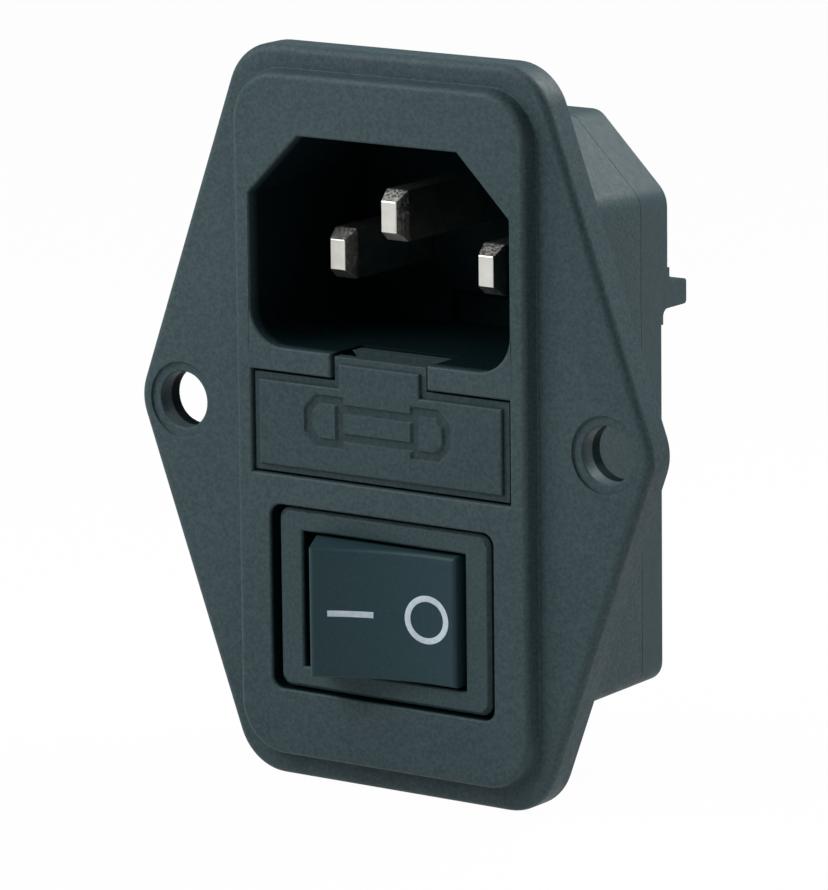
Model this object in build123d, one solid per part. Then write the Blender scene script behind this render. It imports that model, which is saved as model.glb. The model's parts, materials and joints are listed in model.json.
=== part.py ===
from build123d import *
import math
import os

# Power entry module: a screw flange with an appliance inlet, a fuse drawer and a rocker switch.
# Millimetres. X runs to the right as one faces the module, Y to the rear and Z up. The origin
# lies on the flange's back face, midway between the two screw holes, and the module faces -Y.

# Screw flange
hole_pitch = 40.0
hole_dia = 4.5
hole_ring_dia = 6.1
hole_seat_dia = 4.8
hole_ring_depth = 0.35
lug_radius = 4.1
flange_end_border = 1.8       # past the pad's top and bottom
flange_side_border = 1.3      # past the pad's sides
flange_corner = 4.5
flange_thick = 2.7
flange_edge = 0.7             # rounding of the front edge

# Raised pad on the flange
pad_rim = 1.7                 # on both sides of the openings
pad_end_rim = 5.0             # above the socket
pad_corner = 4.2
pad_rise = 1.3
pad_draft = 12.0
pad_edge = 0.5

# Inlet socket
socket_width = 24.4           # the drawer's bay is as wide
socket_top_width = 14.9
socket_height = 16.7
socket_depth = 16.0
socket_corner = 3.0
socket_floor_z = 5.5          # height of the socket's lower wall over the screw holes
socket_pocket_width = 8.6
socket_pocket_height = 2.6
socket_pocket_depth = 0.7
mouth_edge = 0.12             # bevel of every opening in the front face

# Contact pins of the inlet
pin_spacing = 14.0
pin_row_drop = 1.5            # line and neutral, under the socket's middle
earth_offset = 4.0
pin_width = 2.0
pin_height = 4.0
pin_recess = 4.5              # line and neutral tips, behind the front face
earth_recess = 1.6
pin_bevel = 1.2
pin_tip_width = 1.4
pin_tip_height = 2.4
shoulder_margin = 0.7
pin_fit = 0.05

# Fuse drawer bay, under the socket
fuse_headroom = 1.5           # over and under the fuse
bay_roof = 1.9
notch_width = 9.1
notch_depth = 4.4

# Switch recess, under the bay
recess_land = 2.35
recess_side_gap = 0.55        # round the bezel
recess_end_gap = 0.225
recess_corner = 1.0
bezel_sink = 0.35
bezel_thick = 1.6

# Body behind the flange and its rear cover
wall = 1.2
side_wall = 1.4
roof_wall = 1.4
shoulder_wall = 1.0           # over the socket's cut corners
foot_wall = 1.3
roof_corner = 1.6
shoulder_corner = 2.4
foot_corner = 1.6
body_draft = 0.6              # sides and foot
roof_draft = 2.5              # roof and shoulders
upper_step = 0.9              # the rear face stands further out behind the inlet
step_rise = 3.2               # that step over the socket's floor
rear_wall = 1.4
rear_room = 0.8               # between the rear wall and the cover
seam_lap = 1.2
seam_gap = 0.05
skirt = 0.6
skirt_fit = 0.08
cover_plate = 1.2
cover_edge = 0.4
lug_height = 2.0
lug_width = 1.5
lug_reach = 3.3
lug_edge = 0.3
lug_root = 0.6                # hollow rounding where it leaves the cover

# Tabs for push-on receptacles
tab_width = 4.8
tab_thick = 0.8
tab_length = 7.0
tab_hole_dia = 1.5
tab_point = 0.9
tab_fit = 0.15

# Fuse, 5 x 20 mm, whose length is what the drawer's side walls leave
fuse_end_play = 0.3
cap_dia = 5.2
cap_length = 5.2
cap_wall = 0.25
tube_dia = 4.6
tube_bore = 3.4
fuse_wire_dia = 0.25

# Fuse contacts
strip = 0.5
clip_width = 4.0
clip_set_in = 0.3             # from the fuse's end
clip_play = 0.05
clip_reach = 6.8
clip_flare = 0.35
plate_margin = 0.6

# Fuse drawer
drawer_fit = 0.2
drawer_front = 1.2
face_set_in = 0.55            # border round the raised panel of the drawer's face
face_step = 0.3
tray_floor = 0.55
tray_side = 1.7
tray_side_height = 4.9
tray_rib = 0.8
tray_stop_gap = 0.3
nail_groove = 1.4
tongue_thick = 1.3
tongue_root = 1.1
tongue_flare = 0.9
fuse_play = 0.05

# Rocker switch
bezel_side_lip = 0.6
bezel_end_lip = 0.75
bezel_corner = 1.0
bezel_edge = 0.3
well_edge = 0.15
swing_gap = 0.5               # at the rocker's end that is pressed in
case_side_wall = 1.7
case_end_wall = 1.0
case_floor = 1.2
shelf_room = 1.8              # under the load terminal's shelf
case_fit = 0.15
snap_width = 5.0
snap_reach = 0.9
snap_length = 3.2

# Rocker, its plunger and its contacts
face_length = 12.0            # of the rocker's hollow face
rocker_width = 10.3
rocker_fit = 0.25
rocker_edge = 0.4
rocker_tilt = 15.0            # to either side of level
rocker_rise = 5.4             # ends of the face over the pivot
rocker_hollow = 0.95          # sag of the face between its ends
rocker_flare = 13.5           # lean of the end walls, outwards behind the face
belly_rise = 0.6              # widest place over the pivot
rocker_skirt = 2.0            # behind the pivot
skirt_set_in = 1.0            # inside the widest place
rocker_shell = 1.3
pivot_y = -0.6
stub_dia = 2.4
stub_play = 0.06
post_width = 3.8
post_length = 5.0
plunger_dia = 2.2
plunger_play = 0.05
plunger_head = 3.6
plunger_tip_dia = 1.6
plunger_reach = 7.6           # from the pivot to the tip
spring_wire = 0.3
spring_turns = 3
spring_seat = 0.2             # blind end of the post's bore, before the pivot
arm_tilt = 8.0
arm_width = 4.4
arm_thick = 0.5
arm_end_gap = 0.3
arm_gap = 0.08
fulcrum_dia = 1.2
fulcrum_play = 0.04
contact_dia = 2.4
contact_thick = 0.7
contact_gap = 0.05
seat_width = 2.1
seat_set_back = 0.3           # the seat's lips, behind the bead's middle

# Sizes worked out from the ones above
bay_width = socket_width
fuse_length = bay_width - 2 * (drawer_fit + tray_side + fuse_end_play)
bay_height = cap_dia + 2 * fuse_headroom
tilt_angle = math.radians(rocker_tilt)
swing_half = face_length / 2 * math.cos(tilt_angle) + rocker_rise * math.sin(tilt_angle)
well_width = 2 * (swing_half + swing_gap)
well_height = rocker_width + 2 * rocker_fit
case_width = well_width + 2 * case_side_wall
case_height = well_height + 2 * case_end_wall
bezel_width = case_width + 2 * bezel_side_lip
bezel_height = case_height + 2 * bezel_end_lip
recess_width = bezel_width + 2 * recess_side_gap
recess_height = bezel_height + 2 * recess_end_gap
body_width = socket_width + 2 * side_wall
socket_cut = (socket_width - socket_top_width) / 2
trough_dia = cap_dia + 2 * fuse_play
arm_half = well_width / 2 - arm_end_gap
contact_x = arm_half - contact_dia / 2
clip_centre = fuse_length / 2 - clip_set_in - clip_width / 2

# Heights
socket_top_z = socket_floor_z + socket_height
pin_row_z = socket_floor_z + socket_height / 2 - pin_row_drop
earth_z = pin_row_z + earth_offset
step_z = socket_floor_z + step_rise
bay_top_z = socket_floor_z - bay_roof
bay_foot_z = bay_top_z - bay_height
bay_mid_z = (bay_top_z + bay_foot_z) / 2
switch_z = bay_foot_z - recess_land - recess_height / 2
body_top_z = socket_top_z + roof_wall
shoulder_line = socket_top_width / 2 + socket_top_z + math.sqrt(2) * shoulder_wall  # X + Z
body_foot_z = switch_z - case_height / 2 - case_fit - foot_wall
pad_width = socket_width + 2 * pad_rim
pad_height = 2 * (socket_top_z + pad_end_rim)
flange_height = pad_height + 2 * flange_end_border
flange_width = pad_width + 2 * flange_side_border

# Depths
front_y = -(flange_thick + pad_rise)
socket_end_y = front_y + socket_depth
rear_wall_end_y = socket_end_y + rear_wall
plate_end_y = rear_wall_end_y + strip
cover_inner_y = rear_wall_end_y + rear_room
body_depth = cover_inner_y + cover_plate
upper_end_y = body_depth + upper_step
upper_inner_y = upper_end_y - cover_plate
seam_y = rear_wall_end_y - seam_lap
pin_tip_y = front_y + pin_recess
earth_tip_y = front_y + earth_recess
tray_end_y = socket_end_y - tray_stop_gap
live_fuse_y = tray_end_y - cap_dia / 2 - drawer_fit
spare_fuse_y = live_fuse_y - cap_dia - tray_rib
bezel_front_y = front_y + bezel_sink
bezel_back_y = bezel_front_y + bezel_thick
fulcrum_y = pivot_y + plunger_reach + arm_gap + arm_thick
shelf_y = fulcrum_y + 2 * contact_thick + contact_gap
case_floor_y = shelf_y + shelf_room
case_end_y = case_floor_y + case_floor

far = flange_height           # reaches past the whole module
near = 0.01                   # places closer than this are the same


def block(x_range, y_range, z_range):
    """A box between two limits along each axis."""
    size = [high - low for low, high in (x_range, y_range, z_range)]
    middle = [(high + low) / 2 for low, high in (x_range, y_range, z_range)]
    return Pos(*middle) * Box(*size)


def around(middle, size):
    """The two limits of a length centred on a place."""
    return (middle - size / 2, middle + size / 2)


def slab(outline, y_start, y_end):
    """A front-view outline carried from one depth to another."""
    return extrude(Plane.XZ.offset(-y_start) * outline, amount=y_start - y_end)


def side_prism(outline, x_start, x_end):
    """A side-view outline, drawn in Y and Z, carried across the width."""
    return extrude(Plane.YZ.offset(x_start) * outline, amount=x_end - x_start)


def rod(dia, start, end):
    """A round bar between two points."""
    axis = Vector(*end) - Vector(*start)
    return extrude(Plane(origin=start, z_dir=axis) * Circle(dia / 2), amount=axis.length)


def front_edges(shape):
    """Edges of the foremost face."""
    return shape.faces().sort_by(Axis.Y)[0].edges()


def flange_outline():
    """Two lugs and four corner arcs joined by their common tangents."""
    corner_x = flange_width / 2 - flange_corner
    corner_z = flange_height / 2 - flange_corner
    discs = [Pos(side * hole_pitch / 2, 0) * Circle(lug_radius) for side in (-1, 1)]
    discs += [
        Pos(side * corner_x, end * corner_z) * Circle(flange_corner)
        for side in (-1, 1)
        for end in (-1, 1)
    ]
    return make_hull([disc.edge() for disc in discs])


def body_outline(depth):
    """The body's front view at a depth: flat roof, 45 degree shoulders, straight sides."""
    lean = depth * math.tan(math.radians(body_draft))
    roof_lean = depth * math.tan(math.radians(roof_draft))
    half = body_width / 2 - lean
    roof_z = body_top_z - roof_lean
    slope = shoulder_line - math.sqrt(2) * roof_lean
    right = [(slope - roof_z, roof_z), (half, slope - half), (half, body_foot_z + lean)]
    left = [(-x, z) for x, z in reversed(right)]
    return make_face(Polyline(*right, *left, close=True))


def rounded_body_outline(depth):
    """That view with its outer corners rounded."""
    outline = body_outline(depth)
    outline = fillet(outline.vertices().group_by(Axis.Y)[1], shoulder_corner)
    outline = fillet(outline.vertices().group_by(Axis.Y)[-1], roof_corner)
    return fillet(outline.vertices().group_by(Axis.Y)[0], foot_corner)


def body_slice(y_start, y_end, outline_at=rounded_body_outline):
    """A length of the body, which narrows towards the rear."""
    return loft([Plane.XZ.offset(-y) * outline_at(y) for y in (y_start, y_end)], ruled=True)


def body_core(inset, y_start, y_end):
    """A sharp-cornered length that lies this far inside the body's sides."""

    def inner_outline(depth):
        return offset(body_outline(depth), amount=-inset, kind=Kind.INTERSECTION)

    return body_slice(y_start, y_end, inner_outline)


def socket_outline():
    """The inlet's opening: top corners cut at 45 degrees, bottom corners round."""
    middle_z = socket_floor_z + socket_height / 2
    outline = Pos(0, middle_z) * Rectangle(socket_width, socket_height)
    outline = chamfer(outline.vertices().group_by(Axis.Y)[-1], socket_cut)
    return fillet(outline.vertices().group_by(Axis.Y)[0], socket_corner)


def pin_places():
    """Name, middle in X and Z, and tip depth of each contact pin."""
    return {
        "line_pin": (-pin_spacing / 2, pin_row_z, pin_tip_y),
        "neutral_pin": (pin_spacing / 2, pin_row_z, pin_tip_y),
        "earth_pin": (0.0, earth_z, earth_tip_y),
    }


def make_flange():
    """Flange with its raised pad, both rounded along the front edge."""
    flange = slab(flange_outline(), -flange_thick, 0)
    flange = fillet(front_edges(flange), flange_edge)
    pad = extrude(
        Plane.XZ.offset(flange_thick) * RectangleRounded(pad_width, pad_height, pad_corner),
        amount=pad_rise,
        taper=pad_draft,
    )
    return flange + fillet(front_edges(pad), pad_edge)


def screw_hole_cuts():
    """Both screw holes, each with the shallow tapered ring round its mouth."""
    cuts = []
    for side in (-1, 1):
        x = side * hole_pitch / 2
        cuts.append(rod(hole_dia, (x, front_y, 0), (x, wall, 0)))
        ring_plane = Plane.XZ.offset(flange_thick) * Pos(x, 0)
        ring = ring_plane * Circle(hole_ring_dia / 2)
        seat_plane = Plane.XZ.offset(flange_thick - hole_ring_depth) * Pos(x, 0)
        seat = seat_plane * Circle(hole_seat_dia / 2)
        cuts.append(loft([ring, seat]))
    return cuts


def make_housing():
    """One moulding: flange, pad, inlet socket, drawer bay and switch compartment."""
    housing = make_flange() + body_slice(0, seam_y)
    housing += body_core(skirt + skirt_fit, seam_y, rear_wall_end_y)
    inner_half = body_width / 2 - side_wall
    compartment_z = (body_foot_z + wall, bay_foot_z - wall)
    cuts = screw_hole_cuts()
    cuts.append(slab(socket_outline(), front_y, socket_end_y))
    bay = Pos(0, bay_mid_z) * Rectangle(bay_width, bay_height)
    cuts.append(slab(bay, front_y, socket_end_y))
    cuts.append(
        block(
            around(0, notch_width),
            (front_y, front_y + notch_depth),
            (bay_top_z, socket_floor_z),
        )
    )
    cuts.append(
        block(
            around(0, socket_pocket_width),
            (socket_end_y, socket_end_y + socket_pocket_depth),
            (socket_floor_z, socket_floor_z + socket_pocket_height),
        )
    )
    recess = Pos(0, switch_z) * RectangleRounded(recess_width, recess_height, recess_corner)
    cuts.append(slab(recess, front_y, bezel_back_y))
    cutout = Pos(0, switch_z) * Rectangle(case_width + 2 * case_fit, case_height + 2 * case_fit)
    cuts.append(slab(cutout, bezel_back_y, 0))
    cuts.append(block((-inner_half, inner_half), (0, rear_wall_end_y), compartment_z))
    for x, z, _tip in pin_places().values():
        cuts.append(
            block(
                around(x, pin_width + 2 * pin_fit),
                (socket_end_y, rear_wall_end_y),
                around(z, pin_height + 2 * pin_fit),
            )
        )
    for side in (-1, 1):
        cuts.append(
            block(
                around(side * clip_centre, clip_width + 2 * tab_fit),
                (socket_end_y, rear_wall_end_y),
                around(bay_mid_z, cap_dia + 2 * (clip_play + strip + tab_fit)),
            )
        )
    for cut in cuts:
        housing -= cut
    face = housing.faces().filter_by(Axis.Y).sort_by(Axis.Y)[0]
    mouths = [edge for wire in face.inner_wires() for edge in wire.edges()]
    return chamfer(mouths, mouth_edge)


def lug_outline():
    """A side lug's view from the side, with the strip of the cover's plate it stands on."""
    end_y = body_depth + lug_reach
    foot_z, top_z = around(step_z, lug_height)
    outline = make_face(
        Polyline(
            (cover_inner_y, foot_z - 2 * lug_root),
            (body_depth, foot_z - 2 * lug_root),
            (body_depth, foot_z),
            (end_y, foot_z),
            (end_y, top_z),
            (upper_end_y, top_z),
            (upper_end_y, top_z + 2 * lug_root),
            (cover_inner_y, top_z + 2 * lug_root),
            close=True,
        )
    )
    tips = [v for v in outline.vertices() if v.X > end_y - near]
    outline = fillet(tips, lug_edge)
    roots = [
        v
        for v in outline.vertices()
        if min(abs(v.X - y) + abs(v.Y - z) for y, z in ((body_depth, foot_z), (upper_end_y, top_z)))
        < near
    ]
    return fillet(roots, lug_root)


def make_rear_cover():
    """The cap that closes the body, deeper behind the inlet, with two side lugs."""
    cover = body_slice(seam_y + seam_gap, upper_end_y)
    cover -= block((-far, far), (body_depth, upper_end_y), (-far, step_z))
    rear_edges = [
        edge
        for face in cover.faces().filter_by(Axis.Y)
        if face.center().Y > cover_inner_y
        for edge in face.edges()
        if abs(edge.center().Z - step_z) > near
    ]
    cover = fillet(rear_edges, cover_edge)
    cover -= body_core(skirt, seam_y, cover_inner_y)
    upper_room = block((-far, far), (cover_inner_y, upper_inner_y), (step_z, far))
    cover -= body_core(skirt, cover_inner_y, upper_inner_y) & upper_room
    side = body_width / 2 - body_depth * math.tan(math.radians(body_draft))
    for hand in (-1, 1):
        cover += side_prism(lug_outline(), *sorted((hand * side, hand * (side - lug_width))))
    for x, z in tab_places():
        cover -= block(
            around(x, tab_thick + 2 * tab_fit),
            (seam_y, upper_end_y),
            around(z, tab_width + 2 * tab_fit),
        )
    return cover


def tab_places():
    """Middle in X and Z of each tab that comes out of the rear cover."""
    return [
        (pin_spacing / 2, pin_row_z),
        (0.0, earth_z),
        (clip_centre - clip_width / 2, bay_mid_z),
        (0.0, switch_z),
        (contact_x, switch_z),
    ]


def push_on_tab(x, z, y_start, y_end, thick=tab_thick):
    """A flat tab standing on edge, pointed at its end, with the usual hole."""
    outline = make_face(
        Polyline(
            (y_start, z - tab_width / 2),
            (y_end - tab_point, z - tab_width / 2),
            (y_end, z - tab_width / 2 + tab_point),
            (y_end, z + tab_width / 2 - tab_point),
            (y_end - tab_point, z + tab_width / 2),
            (y_start, z + tab_width / 2),
            close=True,
        )
    )
    outline -= Pos(y_end - tab_length / 2, z) * Circle(tab_hole_dia / 2)
    return side_prism(outline, x - thick / 2, x + thick / 2)


def pin_blade(x, z, tip_y):
    """A flat pin bevelled on all four sides of its tip."""
    shaft_y = tip_y + pin_bevel
    blade = block(
        around(x, pin_width), (shaft_y, rear_wall_end_y), around(z, pin_height)
    )
    tip = Plane.XZ.offset(-tip_y) * Pos(x, z) * Rectangle(pin_tip_width, pin_tip_height)
    root = Plane.XZ.offset(-shaft_y) * Pos(x, z) * Rectangle(pin_width, pin_height)
    return blade + loft([tip, root])


def make_pin(name):
    """A contact pin: blade, shoulder behind the rear wall and, but for the line, a tab."""
    x, z, tip_y = pin_places()[name]
    shoulder_start = plate_end_y if name == "line_pin" else rear_wall_end_y
    pin = pin_blade(x, z, tip_y)
    if name == "line_pin":
        pin += block(
            around(x, pin_width), (rear_wall_end_y, plate_end_y), around(z, pin_height)
        )
    pin += block(
        around(x, pin_width + 2 * shoulder_margin),
        (shoulder_start, upper_inner_y),
        around(z, pin_height + 2 * shoulder_margin),
    )
    if name != "line_pin":
        pin += push_on_tab(x, z, upper_inner_y, upper_end_y + tab_length)
    return pin


def clip_prong(side):
    """One leaf of a fuse clip, seen from the side, flared at its mouth."""
    inner = cap_dia / 2 + clip_play
    mouth_y = plate_end_y - strip - clip_reach
    points = [
        (rear_wall_end_y, inner),
        (mouth_y + clip_flare * 2, inner),
        (mouth_y, inner + clip_flare),
        (mouth_y, inner + clip_flare + strip),
        (mouth_y + clip_flare * 2, inner + strip),
        (rear_wall_end_y, inner + strip),
    ]
    return make_face(Polyline(*[(y, bay_mid_z + side * z) for y, z in points], close=True))


def make_clip(hand):
    """A forked contact whose back plate lies on the housing's rear wall."""
    x = hand * clip_centre
    clip = block(
        around(x, clip_width + 2 * plate_margin),
        (rear_wall_end_y, plate_end_y),
        around(bay_mid_z, cap_dia + 2 * (clip_play + strip + plate_margin)),
    )
    for side in (-1, 1):
        clip += side_prism(clip_prong(side), x - clip_width / 2, x + clip_width / 2)
    return clip


def make_line_clip():
    """The left clip, whose plate runs up to the line pin and is held by its shoulder."""
    clip = make_clip(-1)
    pin_x = -pin_spacing / 2
    top_z = pin_row_z + pin_height / 2 + plate_margin
    clip += block(
        around(pin_x, clip_width + plate_margin),
        (rear_wall_end_y, plate_end_y),
        (bay_mid_z, top_z),
    )
    clip -= block(
        around(pin_x, pin_width + 2 * pin_fit),
        (rear_wall_end_y, plate_end_y),
        around(pin_row_z, pin_height + 2 * pin_fit),
    )
    return clip


def make_load_clip():
    """The right clip, with the tab that takes the fused line out."""
    x = clip_centre - clip_width / 2
    tab = push_on_tab(x, bay_mid_z, plate_end_y, body_depth + tab_length, strip)
    return make_clip(1) + tab


def make_fuse_cap(hand):
    """A plated end cap, closed at its outer end."""
    outer = hand * fuse_length / 2
    inner = hand * (fuse_length / 2 - cap_length)
    cap = rod(cap_dia, (outer, live_fuse_y, bay_mid_z), (inner, live_fuse_y, bay_mid_z))
    floor = hand * (fuse_length / 2 - cap_wall)
    return cap - rod(tube_dia, (floor, live_fuse_y, bay_mid_z), (inner, live_fuse_y, bay_mid_z))


def fuse_rod(dia, length):
    """A round bar on the fuse's own axis."""
    start = (-length / 2, live_fuse_y, bay_mid_z)
    return rod(dia, start, (length / 2, live_fuse_y, bay_mid_z))


def make_fuse_tube():
    """Glass tube between the caps' floors."""
    length = fuse_length - 2 * cap_wall
    return fuse_rod(tube_dia, length) - fuse_rod(tube_bore, length)


def make_fuse_wire():
    """The melting wire, stretched from cap to cap."""
    return fuse_rod(fuse_wire_dia, fuse_length - 2 * cap_wall)


def drawer_face():
    """Front plate with a lower border round its raised panel, and its tab upwards."""
    tab_half = notch_width / 2 - drawer_fit
    half = bay_width / 2 - drawer_fit
    top_z = bay_top_z - drawer_fit
    foot_z = bay_foot_z + drawer_fit
    tab_top_z = socket_floor_z - drawer_fit

    def outline(inset):
        right = [
            (half - inset, foot_z + inset),
            (half - inset, top_z - inset),
            (tab_half - inset, top_z - inset),
            (tab_half - inset, tab_top_z - inset),
        ]
        left = [(-x, z) for x, z in reversed(right)]
        return make_face(Polyline(*right, *left, close=True))

    back_y = front_y + drawer_front
    plate = slab(outline(0), front_y + face_step, back_y)
    return plate + slab(outline(face_set_in), front_y, front_y + face_step)


def drawer_tongue():
    """The lip behind the tab, wider at its top, that a nail pulls the drawer by."""
    top_z = socket_floor_z - drawer_fit / 2
    wide = notch_width / 2 - drawer_fit
    narrow = wide - tongue_flare
    root_z = bay_top_z - drawer_fit - tongue_root
    right = [(narrow, root_z), (narrow, top_z - tongue_flare), (wide, top_z)]
    left = [(-x, z) for x, z in reversed(right)]
    start_y = front_y + drawer_front + nail_groove
    tongue = slab(make_face(Polyline(*right, *left, close=True)), start_y, start_y + tongue_thick)
    bridge = block(
        (-narrow, narrow),
        (front_y + drawer_front, start_y + tongue_thick),
        (root_z, bay_top_z - drawer_fit),
    )
    return tongue + bridge


def make_drawer():
    """One moulding: face, tongue, trough for a spare fuse and cradle for the live one."""
    half = bay_width / 2 - drawer_fit
    foot_z = bay_foot_z + drawer_fit
    back_y = front_y + drawer_front
    rib_end_y = spare_fuse_y + trough_dia / 2 + tray_rib
    drawer = drawer_face() + drawer_tongue()
    drawer += block((-half, half), (back_y, tray_end_y), (foot_z, foot_z + tray_floor))
    for hand in (-1, 1):
        drawer += block(
            sorted((hand * half, hand * (half - tray_side))),
            (back_y, tray_end_y),
            (foot_z, foot_z + tray_side_height),
        )
    drawer += block((-half, half), (back_y, rib_end_y), (foot_z, bay_mid_z))
    web_y = (back_y, front_y + drawer_front + nail_groove + tongue_thick)
    web_half = notch_width / 2 - drawer_fit - tongue_flare
    drawer += block((-web_half, web_half), web_y, (bay_mid_z, bay_top_z - drawer_fit))
    trough_half = fuse_length / 2 + fuse_end_play
    drawer -= rod(
        trough_dia,
        (-trough_half, spare_fuse_y, bay_mid_z),
        (trough_half, spare_fuse_y, bay_mid_z),
    )
    cradle_half = fuse_length / 2 - cap_length - fuse_play
    drawer += block(
        (-cradle_half, cradle_half), (rib_end_y, tray_end_y), (foot_z, bay_mid_z)
    )
    window_half = clip_width / 2 + plate_margin
    for hand in (-1, 1):
        drawer -= block(
            around(hand * clip_centre, 2 * window_half),
            (rib_end_y, tray_end_y),
            (foot_z, bay_mid_z),
        )
    return drawer - fuse_rod(trough_dia, 2 * trough_half)


def in_rocker(shape):
    """Turn a shape drawn level about the pivot to the rest pose, right end pressed in."""
    return Pos(0, pivot_y, switch_z) * Rot(0, 0, rocker_tilt) * shape


def rocker_profile(inset=0.0):
    """The rocker seen along its pivot: hollow face, flared end walls, narrower skirt."""
    face_half = face_length / 2 - inset
    face_y = inset - rocker_rise
    flare = (rocker_rise - belly_rise) * math.tan(math.radians(rocker_flare))
    belly_half = face_length / 2 + flare - inset
    skirt_half = belly_half - skirt_set_in
    return make_face(
        [
            ThreePointArc(
                (-face_half, face_y), (0, face_y + rocker_hollow), (face_half, face_y)
            ),
            Polyline(
                (face_half, face_y),
                (belly_half, -belly_rise),
                (skirt_half, rocker_skirt),
                (-skirt_half, rocker_skirt),
                (-belly_half, -belly_rise),
                (-face_half, face_y),
            ),
        ]
    )


def make_rocker():
    """Hollow rocker with a concave face, two pivot stubs and a post for the plunger."""
    outside = Plane.XY.offset(-rocker_width / 2) * rocker_profile()
    rocker = extrude(outside, amount=rocker_width)
    face = rocker.faces().sort_by(lambda f: f.center().Y)[0]
    rocker = fillet(face.edges(), rocker_edge)
    inside = rocker_width - 2 * rocker_shell
    cavity = Plane.XY.offset(-inside / 2) * rocker_profile(rocker_shell)
    rocker -= extrude(cavity, amount=inside)
    rocker += block(
        around(0, post_width), (rocker_hollow - rocker_rise + rocker_shell / 2, post_length),
        around(0, post_width),
    )
    rocker -= rod(plunger_dia + 2 * plunger_play, (0, -spring_seat, 0), (0, post_length, 0))
    stub_end = case_height / 2
    rocker += rod(stub_dia, (0, 0, -stub_end), (0, 0, -inside / 2))
    rocker += rod(stub_dia, (0, 0, inside / 2), (0, 0, stub_end))
    return in_rocker(rocker)


def make_plunger():
    """Round plunger with a narrower rounded tip."""
    tip_radius = plunger_tip_dia / 2
    neck_end = plunger_reach - tip_radius
    head_start = neck_end - plunger_head
    plunger = rod(plunger_dia, (0, head_start, 0), (0, neck_end - tip_radius, 0))
    plunger += rod(plunger_tip_dia, (0, neck_end - tip_radius, 0), (0, neck_end, 0))
    plunger += Pos(0, neck_end, 0) * Sphere(tip_radius)
    return in_rocker(plunger)


def make_plunger_spring():
    """Coil spring between the post's blind end and the plunger, of six-sided wire."""
    head_start = plunger_reach - plunger_tip_dia / 2 - plunger_head
    start_y = spring_wire / 2 - spring_seat
    height = head_start - start_y - spring_wire / 2
    coil_radius = plunger_dia / 2 - spring_wire / 2
    path = Helix(height / spring_turns, height, coil_radius)
    section = Plane(origin=path @ 0, z_dir=path % 0) * RegularPolygon(spring_wire / 2, 6)
    coil = sweep(section, path=path, is_frenet=True)
    return in_rocker(Pos(0, start_y, 0) * Rot(-90, 0, 0) * coil)


def snap_wedge(hand):
    """A wedge on the case's end that clicks behind the flange."""
    root = hand * case_width / 2
    outline = make_face(
        Polyline(
            (root, case_fit),
            (root + hand * snap_reach, case_fit),
            (root, case_fit + snap_length),
            close=True,
        )
    )
    return extrude(Plane.XY.offset(switch_z - snap_width / 2) * outline, amount=snap_width)


def make_switch_case():
    """Bezel and box in one moulding, open in front, slotted below for two terminals."""
    bezel = Pos(0, switch_z) * RectangleRounded(bezel_width, bezel_height, bezel_corner)
    case = slab(bezel, bezel_front_y, bezel_back_y)
    case = chamfer(front_edges(case), bezel_edge)
    body = Pos(0, switch_z) * Rectangle(case_width, case_height)
    case += slab(body, bezel_back_y, case_end_y)
    well = Pos(0, switch_z) * Rectangle(well_width, well_height)
    case -= slab(well, bezel_front_y, case_floor_y)
    face = case.faces().filter_by(Axis.Y).sort_by(Axis.Y)[0]
    case = chamfer(face.inner_wires()[0].edges(), well_edge)
    hole_half = case_height / 2
    case -= rod(
        stub_dia + 2 * stub_play,
        (0, pivot_y, switch_z - hole_half),
        (0, pivot_y, switch_z + hole_half),
    )
    for hand, ledge_y in ((-1, fulcrum_y + contact_gap), (1, shelf_y + tab_thick)):
        case += snap_wedge(hand)
        case += block(
            sorted((hand * well_width / 2, hand * (contact_x - contact_dia / 2))),
            (ledge_y, case_floor_y),
            around(switch_z, well_height),
        )
    for x in (0.0, contact_x):
        case -= block(
            around(x, tab_thick + 2 * pin_fit),
            (shelf_y, case_end_y),
            around(switch_z, tab_width + 2 * pin_fit),
        )
    return case


def in_arm(shape):
    """Turn a shape drawn level about the fulcrum to the rest pose, left end down."""
    return Pos(0, fulcrum_y, switch_z) * Rot(0, 0, -arm_tilt) * shape


def make_contact_arm():
    """A shallow V of spring brass with a bead under its middle."""
    lift = arm_half * math.tan(math.radians(arm_tilt))
    upper = [(-arm_half, -arm_thick - lift), (0, -arm_thick), (arm_half, -arm_thick - lift)]
    lower = [(x, y + arm_thick) for x, y in reversed(upper)]
    strip_outline = make_face(Polyline(*upper, *lower, close=True))
    arm = extrude(Plane.XY.offset(-arm_width / 2) * strip_outline, amount=arm_width)
    bead = rod(fulcrum_dia, (0, 0, -arm_width / 2), (0, 0, arm_width / 2))
    below = block((-arm_half, arm_half), (-arm_thick, arm_half), around(0, arm_width))
    return in_arm(arm + (bead & below))


def contact_button(y_start, y_end):
    """A round silver button in line with the load terminal."""
    return rod(contact_dia, (contact_x, y_start, 0), (contact_x, y_end, 0))


def make_moving_contact():
    """Button under the arm's right end, which is lifted off its mate at rest."""
    lifted = Pos(0, fulcrum_y, switch_z) * Rot(0, 0, -2 * arm_tilt)
    return lifted * contact_button(0, contact_thick)


def make_fixed_contact():
    """Button on the load terminal's shelf."""
    return Pos(0, shelf_y, switch_z) * contact_button(-contact_thick, 0)


def make_load_terminal():
    """Outer terminal: a shelf under the fixed contact and a tab through the case."""
    shelf = block(
        around(contact_x, contact_dia),
        (shelf_y, shelf_y + tab_thick),
        around(switch_z, tab_width),
    )
    return shelf + push_on_tab(contact_x, switch_z, shelf_y, body_depth + tab_length)


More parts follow.
